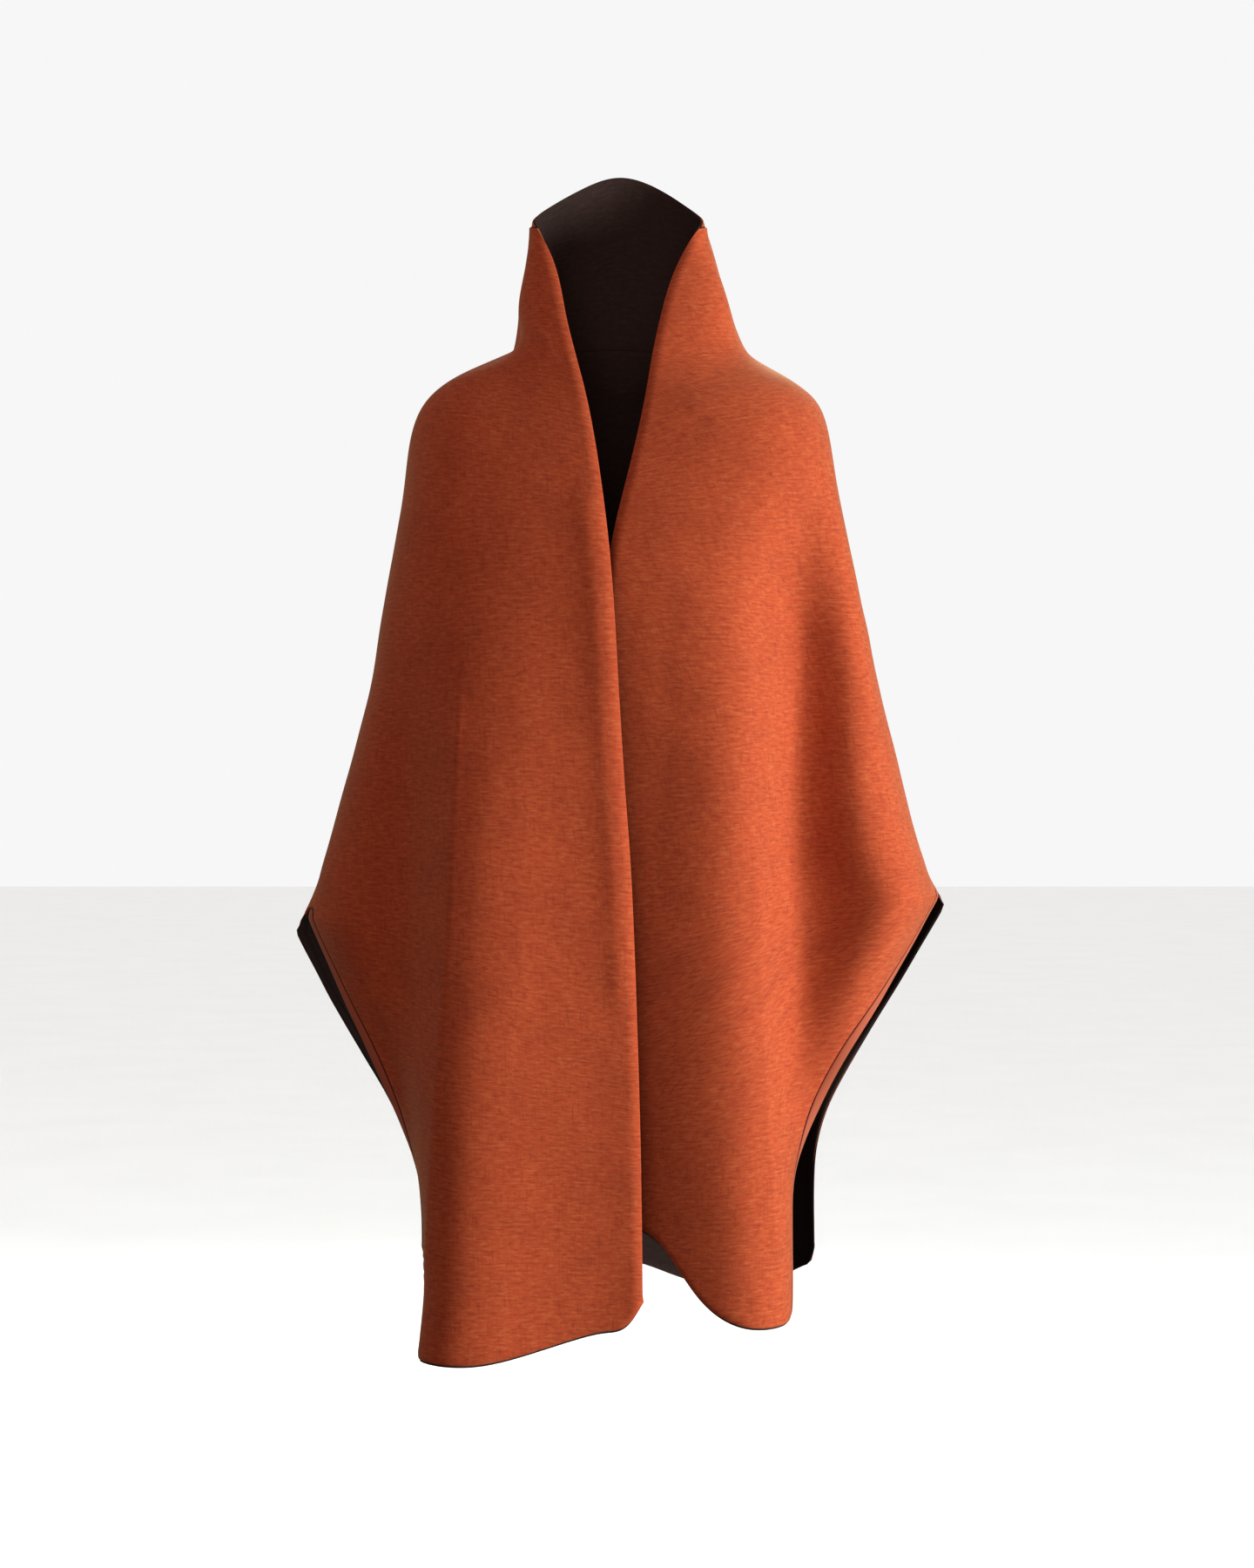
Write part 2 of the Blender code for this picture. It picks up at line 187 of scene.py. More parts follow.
def wool_noise(tree, metres, noise):
    """Noise whose features have about their stated width and height on the cloth."""
    width, height = (size * MM for size in noise.size_mm)
    stretched = add_node(
        tree, "ShaderNodeMapping", {"Vector": metres, "Scale": (1 / width, 1 / height, 1.0)},
    ).outputs[0]
    return add_node(
        tree, "ShaderNodeTexNoise",
        {"Vector": stretched, "Scale": 1.0, "Detail": noise.detail, "Roughness": noise.roughness},
    ).outputs[0]


def mix_colours(tree, factor, first, second):
    return add_node(tree, "ShaderNodeMix", {0: factor, 6: first, 7: second}, data_type="RGBA").outputs[2]


def ramp(tree, value, begins, full, most=1.0):
    """Rises from nothing where the value begins to its most where the value is full."""
    return add_node(
        tree, "ShaderNodeMapRange", {"Value": value, "From Min": begins, "From Max": full, "To Max": most},
    ).outputs[0]


print("noises:", list(NOISES), "stains:", len(STAINS))

# %% [markdown]
# The nap catches light that skims it, which is what the sheen is for. It lies a little uneven over
# the streaks and specks, so a faint bump follows them. Close to the open sides the cloth is
# pressed, with a paler strip at the edge, and a dark line of painted shade runs along the stitched
# groove. An attribute of the mesh tells how far from the open side each point lies.

# %% Wool materials
EDGE_STRIP_MM = 8.0
# Out to this distance from the open side, a dark line of painted shade marks the stitched groove.
STITCH_SHADE_MM = 12.2
EDGE_SOFT_MM = 0.5
STRIP_MOST = 0.85
BUMP_STRENGTH = 0.4
WOOL_ROUGHNESS = 0.88
WOOL_IOR = 1.45
WOOL_SPECULAR = 0.25
NAP_ROUGHNESS = 0.45


def new_material(name):
    """A new material, with its node tree and its main shader."""
    material = bpy.data.materials.new(name)
    material.use_nodes = True
    return material, material.node_tree, material.node_tree.nodes["Principled BSDF"]


def brushed_wool(name, dyes, sheen_colour, sheen_weight, bump_mm):
    """Fulled, brushed woollen cloth with weft streaks, specks and soft clouding."""
    material, tree, shader = new_material(name)
    dye = {shade: linear(code) for shade, code in dyes.items()}
    metres = add_node(tree, "ShaderNodeUVMap", {}, uv_map="cloth_metres").outputs[0]
    noises = {key: wool_noise(tree, metres, noise) for key, noise in NOISES.items()}
    colour = dye["ground"]
    for stain in STAINS:
        share = ramp(tree, noises[stain.noise], stain.begins, stain.full, stain.most)
        colour = mix_colours(tree, share, colour, dye[stain.towards])
    edge = add_node(tree, "ShaderNodeAttribute", {}, attribute_name="mm_from_side").outputs["Fac"]
    # Painted shade: a dark line along the stitched groove, where the pressed nap lies in shadow.
    in_stitch_shade = ramp(tree, edge, STITCH_SHADE_MM, STITCH_SHADE_MM - EDGE_SOFT_MM)
    colour = mix_colours(tree, in_stitch_shade, colour, dye["line"])
    in_strip = ramp(tree, edge, EDGE_STRIP_MM, EDGE_STRIP_MM - EDGE_SOFT_MM, STRIP_MOST)
    colour = mix_colours(tree, in_strip, colour, dye["strip"])
    height = add_node(
        tree, "ShaderNodeMath", {0: noises["streaks"], 1: noises["specks"]}, operation="ADD",
    ).outputs[0]
    nap = add_node(
        tree, "ShaderNodeBump", {"Height": height, "Strength": BUMP_STRENGTH, "Distance": bump_mm * MM},
    ).outputs[0]
    set_inputs(tree, shader, {
        "Base Color": colour,
        "Normal": nap,
        "Roughness": WOOL_ROUGHNESS,
        "IOR": WOOL_IOR,
        "Specular IOR Level": WOOL_SPECULAR,
        "Sheen Weight": sheen_weight,
        "Sheen Roughness": NAP_ROUGHNESS,
        "Sheen Tint": linear(sheen_colour),
    })
    return material


# Rust woollen coating: matt, slightly uneven in the dye, glowing orange where light skims the nap.
rust_wool = brushed_wool(
    "rust_brushed_wool",
    # The "line" dye is painted shade along the stitched groove.
    {"deep": "#8E2C15", "ground": "#BE4824", "pale": "#CE6A3D", "strip": "#BC5A3F", "line": "#641008"},
    sheen_colour="#FFC898", sheen_weight=0.50, bump_mm=0.35,
)
# Dark brown woollen coating: the same cloth in a near-black dye, with hardly any sheen.
brown_wool = brushed_wool(
    "dark_brown_brushed_wool",
    # The "line" dye, painted shade along the stitched groove, is the deep brown here.
    {"deep": "#2C1B18", "ground": "#38241F", "pale": "#453029", "strip": "#38241F", "line": "#2C1B18"},
    sheen_colour="#806A60", sheen_weight=0.05, bump_mm=0.3,
)
print("wool materials:", rust_wool.name, brown_wool.name)

# %% [markdown]
# The stitches are ordinary polyester sewing thread, spun and slightly shiny, dyed a deeper red
# than the cloth. They sink into the nap, so only short dark dashes are seen.

# %% Thread material
THREAD_TWIST_MM = 0.6
THREAD_ROUGHNESS = 0.55
# Dark red sewing thread: its twist shows as faint slubs of two reds, with a low shine.
thread, thread_tree, thread_shader = new_material("sewing_thread")
thread_place = add_node(thread_tree, "ShaderNodeTexCoord", {}).outputs["Object"]
thread_twist = add_node(
    thread_tree, "ShaderNodeTexNoise",
    {"Vector": thread_place, "Scale": 1 / (THREAD_TWIST_MM * MM), "Detail": 1.0},
).outputs[0]
thread_colour = mix_colours(thread_tree, thread_twist, linear("#58160D"), linear("#74251A"))
set_inputs(thread_tree, thread_shader, {"Base Color": thread_colour, "Roughness": THREAD_ROUGHNESS})
print("thread material:", thread.name)

# %% [markdown]
# A worn garment can be drawn as a stack of level outlines, as a pattern cutter measures a figure:
# neck, shoulder, bust, waist, wrist, hip and hem. Each row below gives a few points of one
# outline, in millimetres out from the centre, and in depth, with -Y to the front. The last row lies
# below the hem, and the cloth is cut off above it. These are the outlines that the solids were made
# from, so the cloth drawn here lies on their form.

# %% Outlines of the cape
Front = namedtuple("Front", "name edge breast ridge valley arm arm_line")
GUIDE_SHARE = (0.0, 0.3, 0.55, 0.75, 0.88, 1.0)
RIGHT_FRONT = (
    Front("collar top", (79, -8, 124), (80, -4), (82, 2), (83, 9), (82, 16), (79, 22, 129)),
    Front("collar upper", (64, -22, 91), (72, -17), (79, -11), (83, -5), (85, 6), (84, 18, 97)),
    Front("collar lower", (52, -46, 39), (66, -39), (79, -30), (88, -18), (92, -3), (92, 13, 45)),
    Front("neck", (42, -67, -4), (62, -57), (81, -45), (93, -29), (98, -10), (98, 10, 8)),
    Front("shoulder", (33, -86, -40), (66, -71), (102, -54), (131, -39), (149, -20), (154, 5, -18)),
    Front("shoulder point", (26, -103, -75), (70, -88), (115, -71), (152, -52), (176, -28), (184, 0, -45)),
    Front("armpit", (17, -124, -134), (75, -111), (129, -94), (170, -73), (191, -43), (200, 1, -115)),
    Front("bust", (9, -142, -205), (77, -131), (136, -113), (182, -84), (205, -54), (215, 3, -205)),
    Front("under bust", (3, -153, -300), (78, -144), (141, -130), (188, -94), (215, -66), (230, 3, -300)),
    Front("waist", (-3, -155, -400), (79, -152), (144, -140), (193, -94), (227, -74), (253, -6, -392)),
    Front("elbow", (-9, -156, -485), (80, -155), (146, -147), (197, -97), (239, -78), (275, -19, -474)),
    Front("wrist", (-12, -157, -555), (80, -158), (147, -151), (201, -98), (247, -80), (288, -31, -522)),
    Front("hip", (-16, -158, -671), (80, -160), (150, -157), (186, -116), (210, -88), (232, -74, -639)),
    Front("thigh", (-18, -160, -765), (76, -161), (157, -156), (174, -131), (180, -108), (181, -88, -755)),
    Front("above hem", (-19, -161, -845), (72, -162), (163, -158), (172, -141), (172, -124),
          (168, -104, -840)),
    Front("below hem", (-20, -161, -945), (70, -163), (175, -162), (184, -145), (182, -128),
          (177, -112, -945)),
)
LEFT_FRONT = (
    Front("collar top", (75, -8, 124), (76, -4), (78, 2), (79, 9), (78, 16), (75, 22, 129)),
    Front("collar upper", (57, -20, 91), (67, -18), (76, -14), (83, -7), (86, 4), (85, 18, 97)),
    Front("collar lower", (40, -43, 39), (60, -41), (79, -37), (95, -27), (101, -9), (101, 13, 45)),
    Front("neck", (31, -58, -4), (60, -56), (87, -50), (107, -37), (118, -16), (118, 10, 4)),
    Front("shoulder", (25, -72, -40), (63, -73), (104, -68), (138, -53), (157, -28), (160, 5, -22)),
    Front("shoulder point", (18, -86, -75), (67, -89), (117, -85), (156, -68), (179, -38), (185, 0, -45)),
    Front("armpit", (4, -106, -134), (70, -111), (127, -104), (169, -82), (192, -58), (199, 1, -115)),
    Front("bust", (-10, -120, -205), (68, -129), (118, -116), (167, -78), (200, -73), (217, 3, -205)),
    Front("under bust", (-14, -124, -300), (68, -139), (114, -130), (169, -77), (209, -88), (238, 3, -300)),
    Front("waist", (-14, -125, -400), (68, -146), (113, -141), (165, -89), (215, -105), (260, -6, -392)),
    Front("elbow", (-14, -124, -485), (68, -150), (113, -147), (165, -99), (228, -119), (279, -19, -466)),
    Front("wrist", (-12, -125, -545), (70, -153), (114, -150), (165, -106), (238, -125), (295, -30, -502)),
    Front("hip", (-9, -123, -660), (74, -155), (117, -153), (162, -109), (189, -105), (212, -99, -636)),
    Front("thigh", (-7, -120, -765), (76, -155), (119, -156), (146, -133), (155, -112), (158, -92, -752)),
    Front("above hem", (-6, -118, -845), (78, -153), (121, -156), (145, -138), (153, -117),
          (155, -99, -838)),
    Front("below hem", (-6, -117, -945), (80, -153), (121, -157), (142, -142), (149, -122),
          (151, -104, -945)),
)
Back = namedtuple("Back", "arm blade ridge centre")
BACK_SHARE = (0.0, 0.15, 0.42, 0.75, 1.0)
BACK = (
    Back((1.02, 38), (0.86, 57), (40, 79), (0, 90, 189)),
    Back((1.02, 35), (0.87, 56), (43, 78), (0, 88, 146)),
    Back((0.99, 31), (0.85, 55), (46, 76), (0, 84, 78)),
    Back((0.99, 29), (0.86, 55), (50, 75), (0, 80, 20)),
    Back((0.96, 30), (0.75, 65), (60, 85), (0, 87, -28)),
    Back((0.97, 31), (0.78, 71), (68, 97), (0, 98, -76)),
    Back((0.98, 37), (0.81, 78), (80, 110), (0, 110, -134)),
    Back((0.98, 44), (0.82, 83), (94, 118), (0, 119, -205)),
    Back((0.96, 48), (0.81, 84), (116, 119), (0, 124, -300)),
    Back((0.94, 43), (0.78, 78), (130, 119), (0, 126, -400)),
    Back((0.92, 32), (0.74, 72), (138, 120), (0, 127, -485)),
    Back((0.90, 16), (0.70, 68), (142, 121), (0, 127, -555)),
    Back((0.93, 42), (0.81, 76), (146, 121), (0, 128, -665)),
    Back((0.97, 78), (0.91, 98), (142, 124), (0, 129, -765)),
    Back((0.98, 93), (0.92, 109), (138, 127), (0, 130, -845)),
    Back((0.98, 98), (0.92, 113), (134, 129), (0, 130, -945)),
)
BACK_SIDE_RIGHT = ((302, -17, -536), (249, 23, -643), (195, 62, -757), (188, 78, -842), (182, 84, -945))
BACK_SIDE_LEFT = ((303, -17, -511), (219, 34, -664), (185, 66, -757), (184, 78, -842), (178, 84, -945))
RIGHT_HEM = ((-180, -916), (-129, -917), (-87, -909), (-39, -895), (-12, -889), (8, -881), (20, -862))
LEFT_HEM = ((-8, -790), (19, -801), (38, -814), (55, -837), (71, -859), (97, -880), (123, -887), (160, -885))
BACK_HEM = ((-185, -860), (-150, -882), (-110, -891), (-55, -880), (0, -864),
            (55, -880), (110, -891), (150, -882), (185, -860))
NECK_LEVEL = 3
WRIST_LEVEL = 11
print(len(RIGHT_FRONT), "levels from", RIGHT_FRONT[0].name, "to", RIGHT_FRONT[-1].name)

# %% [markdown]
# Cloth bends in smooth curves, so a natural cubic spline is run through each outline, and another
# down each guide line. Only two places are sharp in the real cape: the neck points, where the
# collar stands up from the shoulder, and the wrists, where the side seam ends and the side opens.
# The splines of the arm lines stop there and start again.

# %% Splines
def spline(knots, points, queries):
    """Natural cubic spline through points at the knots, read at the queries."""
    knots, points, queries = (np.asarray(a, dtype=float) for a in (knots, points, queries))
    count = len(knots)
    step = np.diff(knots)
    slope = np.diff(points, axis=0) / step[:, None]
    system = np.eye(count)
    right = np.zeros_like(points)
    for i in range(1, count - 1):
        system[i, i - 1:i + 2] = step[i - 1], 2 * (step[i - 1] + step[i]), step[i]
        right[i] = 6 * (slope[i] - slope[i - 1])
    bend = np.linalg.solve(system, right)
    cell = np.clip(np.searchsorted(knots, queries) - 1, 0, count - 2)
    width = step[cell][:, None]
    after = (queries - knots[cell])[:, None]
    before = width - after
    return (
        (bend[cell] * before ** 3 + bend[cell + 1] * after ** 3) / (6 * width)
        + (points[cell] / width - bend[cell] * width / 6) * before
        + (points[cell + 1] / width - bend[cell + 1] * width / 6) * after
    )


def smooth(share):
    """Eases a share from 0 to 1, so that nothing begins with a kink."""
    return share * share * (3 - 2 * share)


def chords(points):
    """Distance along a row of points."""
    return np.concatenate(([0.0], np.cumsum(np.linalg.norm(np.diff(points, axis=0), axis=1))))


def sections(guides, knots, levels, arm_line):
    """The guide points at each level, the arm lines broken at the neck points and the wrists."""
    flat = guides.reshape(len(knots), -1)
    points = spline(knots, flat, levels).reshape(len(levels), -1, 3)
    corners = (0, NECK_LEVEL, WRIST_LEVEL, len(knots) - 1)
    for first, last in zip(corners, corners[1:]):
        inside = (levels >= knots[first]) & (levels <= knots[last])
        stretch = slice(first, last + 1)
        for guide in (arm_line, -1 - arm_line):
            points[inside, guide] = spline(knots[stretch], guides[stretch, guide], levels[inside])
    return points


def read_outline(guides, places):
    """Spline through one outline's guides, read at guide numbers such as 2.5."""
    knots = chords(guides)
    return spline(knots, guides, np.interp(places, np.arange(len(knots)), knots))


print("a spline through 0, 1 and 0, read a quarter along:", spline([0, 1, 2], [[0], [1], [0]], [0.5]))

# %% [markdown]
# Read down the tables, the same place on every outline makes a guide line: the front edge, the
# breast, the ridge and the valley of the main fold, the arm, and the line where front and back meet
# over it. The back's guides are given for one half and mirrored, the outer ones as shares of the
# arm's reach. Put side by side, the fronts' and the back's guides make one ring round the body.

# %% Guides of the four sides
def front_guides(table, side):
    rows = []
    for row in table:
        heights = [row.edge[2] + share * (row.arm_line[2] - row.edge[2]) for share in GUIDE_SHARE]
        rows.append([(side * point[0], point[1], height) for point, height in zip(row[1:], heights)])
    return np.array(rows, dtype=float)


def back_guides(arm_lines):
    rows = []
    for level, row in enumerate(BACK):
        halves = []
        for side, arm_line in zip((-1, 1), arm_lines):
            reach, depth, top = arm_line[level]
            line = [(reach, depth), (row.arm[0] * reach, row.arm[1]), (row.blade[0] * reach, row.blade[1])]
            line += [row.ridge, row.centre[:2]]
            halves.append([
                (side * out, y, top + share * (row.centre[2] - top))
                for share, (out, y) in zip(BACK_SHARE, line)
            ])
        rows.append(halves[0] + halves[1][-2::-1])
    return np.array(rows, dtype=float)


right_guides = front_guides(RIGHT_FRONT, -1)
left_guides = front_guides(LEFT_FRONT, 1)
arm_lines = [
    [row.arm_line for row in front[:WRIST_LEVEL]] + list(side)
    for front, side in ((RIGHT_FRONT, BACK_SIDE_RIGHT), (LEFT_FRONT, BACK_SIDE_LEFT))
]
back_line = back_guides(arm_lines)
ring = np.concatenate((right_guides, back_line[:, 1:-1], left_guides[:, ::-1]), axis=1)
knots = np.concatenate(([0.0], np.cumsum(np.linalg.norm(np.diff(ring, axis=0), axis=2).mean(axis=1))))
LAST_GUIDE = len(GUIDE_SHARE) - 1
print(f"cloth runs {knots[-1]:.0f} mm down from the collar's top, the wrist at {knots[WRIST_LEVEL]:.0f} mm")

# %% [markdown]
# Above the wrist the fronts and the back join into one closed ring, and below it each panel hangs
# free. The two readings are blended over the last few centimetres above the wrist, so the cloth
# doesn't kink there. Each row of the surface is then re-spaced by its real length, with extra
# columns close to the edges, where the cloth rolls and is stitched.

# %% Smooth surface of a panel
DENSE_STEP = 2.5
PLACES_PER_GUIDE = 60
RING_BLEND = 60.0
EDGE_COLUMNS = (0.0, 1.1, 2.5, 4.3, 6.4, 8.4, 10.1, 11.8, 13.6, 16.0, 19.0)


def panel_surface(guides, ring_start, levels):
    places = np.linspace(0, guides.shape[1] - 1, (guides.shape[1] - 1) * PLACES_PER_GUIDE + 1)
    own = [read_outline(row, places) for row in sections(guides, knots, levels, 0)]
    whole = sections(ring, knots, levels, LAST_GUIDE)
    joined = [read_outline(row, places + ring_start) for row in whole]
    share = np.clip((knots[WRIST_LEVEL] - levels) / RING_BLEND, 0, 1)
    return np.array(own) + smooth(share)[:, None, None] * (np.array(joined) - np.array(own))


def respace(row, middle_columns):
    """One row re-spaced by real length, fine near both ends."""
    along = chords(row)
    near = np.array(EDGE_COLUMNS)
    middle = np.linspace(near[-1], along[-1] - near[-1], middle_columns + 2)[1:-1]
    stops = np.concatenate((near, middle, along[-1] - near[::-1]))
    return np.stack([np.interp(stops, along, row[:, axis]) for axis in range(3)], axis=1), stops


def at_levels(values, levels, wanted):
    """Reads each column of a dense grid at its own levels."""
    cell = np.clip(np.searchsorted(levels, wanted) - 1, 0, len(levels) - 2)
    part = ((wanted - levels[cell]) / (levels[cell + 1] - levels[cell]))[..., None]
    columns = np.arange(values.shape[1])[None, :].repeat(len(wanted), axis=0)
    return values[cell, columns] * (1 - part) + values[cell + 1, columns] * part


dense_levels = np.arange(0.0, knots[-1], DENSE_STEP)
print(len(dense_levels), "dense rows")

# %% [markdown]
# The hem isn't level in the real cape. The front that laps over dips towards its side, the one
# underneath rises to the centre, and the back hangs in a gentle arch. A short table gives each
# hem's height, and every column of cloth is cut where it reaches it. The corners at the open sides
# are rounded with the radius of a large coin. At the top of the collar the face cloths begin a
# little below the inside cloths, which show there as a thin dark line.

# %% Hems
HEM_ROWS = (13.0, 10.0, 7.6, 5.6, 3.8, 2.3, 1.1, 0.0)
CORNER_ROUND = 14
COLLAR_INSIDE_SHOWS = 1.5


def hem_height(table, x):
    xs, zs = np.array(table, dtype=float).T
    return spline(xs, zs[:, None], np.clip(x, xs[0], xs[-1]))[:, 0]


def corner_lift(distance):
    reach = np.clip(CORNER_ROUND - distance, 0, None)
    return CORNER_ROUND - np.sqrt(CORNER_ROUND ** 2 - reach ** 2)


def hem_levels(surface, levels, hem, edge_distance):
    """The level at which each column of cloth is cut off."""
    below = levels > knots[WRIST_LEVEL]
    ends = []
    for column in range(surface.shape[1]):
        line = surface[below, column]
        goal = hem_height(hem, line[:, 0]) + corner_lift(edge_distance[below, column])
        past = line[:, 2] - goal
        first = int(np.argmax(past <= 0))
        gap = past[first - 1] - past[first]
        share = past[first - 1] / gap
        ends.append(levels[below][first - 1] + share * (levels[below][first] - levels[below][first - 1]))
    return np.array(ends)


def cut_rows(ends, raised, step):
    """Levels of a panel's rows: shared ones down to the wrist, then down to each column's hem."""
    neck, wrist = knots[NECK_LEVEL], knots[WRIST_LEVEL]
    collar = np.linspace(COLLAR_INSIDE_SHOWS if raised else 0.0, neck, round(neck / step) + 1)
    body = np.linspace(neck, wrist, round((wrist - neck) / step) + 1)
    ends = ends - raised
    count = round((ends.max() - wrist) / step)
    rows = [np.full(len(ends), level) for level in (*collar, *body[1:])]
    rows += [wrist + (ends - HEM_ROWS[0] - wrist) * i / count for i in range(1, count + 1)]
    rows += [ends - above for above in HEM_ROWS[1:]]
    return np.array(rows)


for title, hem in (("right", RIGHT_HEM), ("left", LEFT_HEM), ("back", BACK_HEM)):
    print(title, "hem in the middle at", round(float(hem_height(hem, np.zeros(1))[0])), "mm")

# %% [markdown]
# Creases are listed in the cape's own millimetres as seen from the front or the back.
# Each has a line, a half width, a height (raised) or depth (below zero), and a softness, where a
# small value gives a crisp fold. The main forms are already in the outlines. These are the small
# pulls at the collar, the crisp fold lines where the fronts turn to the sides, and the uneven
# swells of a heavy cloth.

# %% Creases
Crease = namedtuple("Crease", "panel line width height softness")
CREASES = (
    Crease("front_right", ((-80, 34), (-70, 16), (-60, 2)), 3.5, 1.1, 1.5),
    Crease("front_right", ((-86, 30), (-76, 8), (-66, -8)), 5.0, -0.8, 2.5),
    Crease(
        "front_right",
        ((-142, -300), (-147, -420), (-153, -560), (-163, -700), (-171, -860)), 5.0, 3.4, 0.3,
    ),
    Crease(
        "front_right",
        ((-34, -110), (-24, -205), (-17, -300), (-11, -400), (-5, -485), (0, -620)), 13.0, 3.4, 4.0,
    ),
    Crease("front_right", ((-78, -240), (-84, -430), (-90, -640)), 26.0, 1.2, 9.0),
    Crease("front_right", ((-200, -300), (-214, -420), (-230, -530)), 22.0, -1.4, 8.0),
    Crease("front_left", ((58, -48), (71, -56), (86, -52)), 4.5, 1.0, 1.5),
    Crease("front_left", ((56, -58), (71, -67), (88, -62)), 6.0, -0.9, 2.5),
    Crease("front_left", ((118, -440), (124, -560), (130, -690), (142, -850)), 4.5, 2.4, 0.3),
    Crease("front_left", ((44, -200), (40, -360), (34, -520)), 24.0, -1.2, 8.0),
    Crease("front_left", ((206, -260), (226, -380), (250, -480)), 20.0, -1.2, 7.0),
    Crease("back", ((-112, -180), (-120, -420), (-126, -640), (-124, -870)), 14.0, 1.8, 4.0),
    Crease("back", ((-52, -120), (-60, -420), (-64, -700), (-62, -870)), 24.0, -2.2, 8.0),
    Crease("back", ((6, -160), (2, -460), (-4, -720), (-2, -860)), 26.0, 1.8, 9.0),
    Crease("back", ((66, -140), (60, -400), (68, -680), (66, -870)), 22.0, -2.0, 8.0),
    Crease("back", ((118, -200), (124, -430), (130, -640), (128, -870)), 15.0, 1.6, 4.0),
    Crease("back", ((-210, -280), (-226, -400), (-246, -500)), 20.0, -1.4, 7.0),
    Crease("back", ((208, -260), (228, -390), (250, -490)), 20.0, -1.4, 7.0),
    Crease("back", ((-30, 10), (-20, -12), (0, -22), (22, -14), (34, 6)), 7.0, -1.2, 2.5),
    Crease("back", ((-64, 30), (-58, 4), (-70, -24)), 8.0, 0.9, 3.0),
)
# Both ends of a crease fade over this length, or over this share of a short crease.
CREASE_FADE = 45.0
CREASE_FADE_SHARE = 0.45
CREASE_SPOTS = 60


def line_distance(line, x, z):
    """Distance of each point from a crease's line, and how far along it the nearest spot is."""
    corners = np.array(line, dtype=float)
    knots_along = chords(corners)
    fine = np.linspace(0.0, knots_along[-1], CREASE_SPOTS)
    path = spline(knots_along, corners, fine)
    best = np.full(x.shape, np.inf)
    along = np.zeros(x.shape)
    for spot, (px, pz) in zip(fine, path):
        distance = np.hypot(x - px, z - pz)
        nearer = distance < best
        best[nearer] = distance[nearer]
        along[nearer] = spot
    return best, along, knots_along[-1]


def crease_relief(panel, grid):
    """Height of the creases over a panel's grid."""
    x, z = grid[..., 0], grid[..., 2]
    relief = np.zeros(x.shape)
    for crease in CREASES:
        if crease.panel != panel:
            continue
        distance, along, length = line_distance(crease.line, x, z)
        fade = min(CREASE_FADE, CREASE_FADE_SHARE * length)
        ends = smooth(np.clip(np.minimum(along, length - along) / fade, 0, 1))
        ends[(along <= 0) | (along >= length)] = 0.0
        rounded = np.sqrt(distance ** 2 + crease.softness ** 2) - crease.softness
        relief += crease.height * ends * np.exp(-rounded / crease.width)
    return relief


heights = [crease.height for crease in CREASES]
print(len(CREASES), "creases, from", min(heights), "to", max(heights), "mm")

# %% [markdown]
# A heavy wool cloth never hangs perfectly even, so a slow swell is added to every panel: three
# waves, each with its height, its width, its length down the cloth and where it starts. Close to
# an edge the two cloths are turned in and pressed, so the edge rolls inwards. Along the open sides
# a row of stitches pulls a narrow groove, and the strip outside it stands up again. There the
# back's inside cloth turns the other way, outward, past the face cloth.

# %% Swell, rolled edges and stitched groove
SWELL = ((0.35, 210.0, 95.0, 0.4), (0.25, 120.0, 160.0, 2.1), (0.16, 64.0, 88.0, 4.0))
# The waves sway sideways as they run down, and go on round the sides of the body.
SWELL_SWAY = 0.35
SWELL_SWAY_LENGTH = 2.3
SWELL_ROUND = 0.6
ROLL_REACH = 8.0
ROLL_DEPTH = 2.6
HEM_ROLL_REACH = 6.0
HEM_ROLL_DEPTH = 1.2
GROOVE_FROM_EDGE = 10.1
GROOVE_WIDTH = 1.4
GROOVE_DEPTH = 0.9
STRIP_CROWN = 0.45
WRAP_REACH = 4.5
WRAP_HEIGHT = 2.6
SEAM_DIP = 0.5
SEAM_WIDTH = 3.0
SEAM_CALM = 28.0


def swell(across, down):
    total = np.zeros(across.shape)
    for height, wide, high, start in SWELL:
        sway = SWELL_SWAY * np.sin(2 * math.pi * down / (SWELL_SWAY_LENGTH * high))
        turn = 2 * math.pi * (across / wide + sway)
        total += height * np.sin(turn + start) * np.cos(math.pi * down / high + start)
    return total


def edge_roll(distance, reach, depth):
    share = np.clip(1 - distance / reach, 0, 1)
    return -depth * share ** 2


def stitched_groove(distance):
    dip = -GROOVE_DEPTH * np.exp(-((distance - GROOVE_FROM_EDGE) / GROOVE_WIDTH) ** 2)
    inside_strip = np.clip(distance / GROOVE_FROM_EDGE, 0, 1)
    crown = STRIP_CROWN * np.sin(math.pi * inside_strip) * (distance < GROOVE_FROM_EDGE)
    return dip + crown


def seam_dip(distance):
    return -SEAM_DIP * np.exp(-(distance / SEAM_WIDTH) ** 2)


print("swell of up to", round(sum(row[0] for row in SWELL), 2), "mm")

# %% [markdown]
# A panel needs its grid of points, the direction that faces out at each point, the distance of
# every point from the open side, and its UV place in metres. Outward is the cross product of the
# way across and the way down, the same for all panels because their columns run the same way
# round the body. Below the wrists the back's face cloth is drawn in by a few millimetres and its
# inside cloth wraps past it, which gives the dark band that shows beside the fronts.

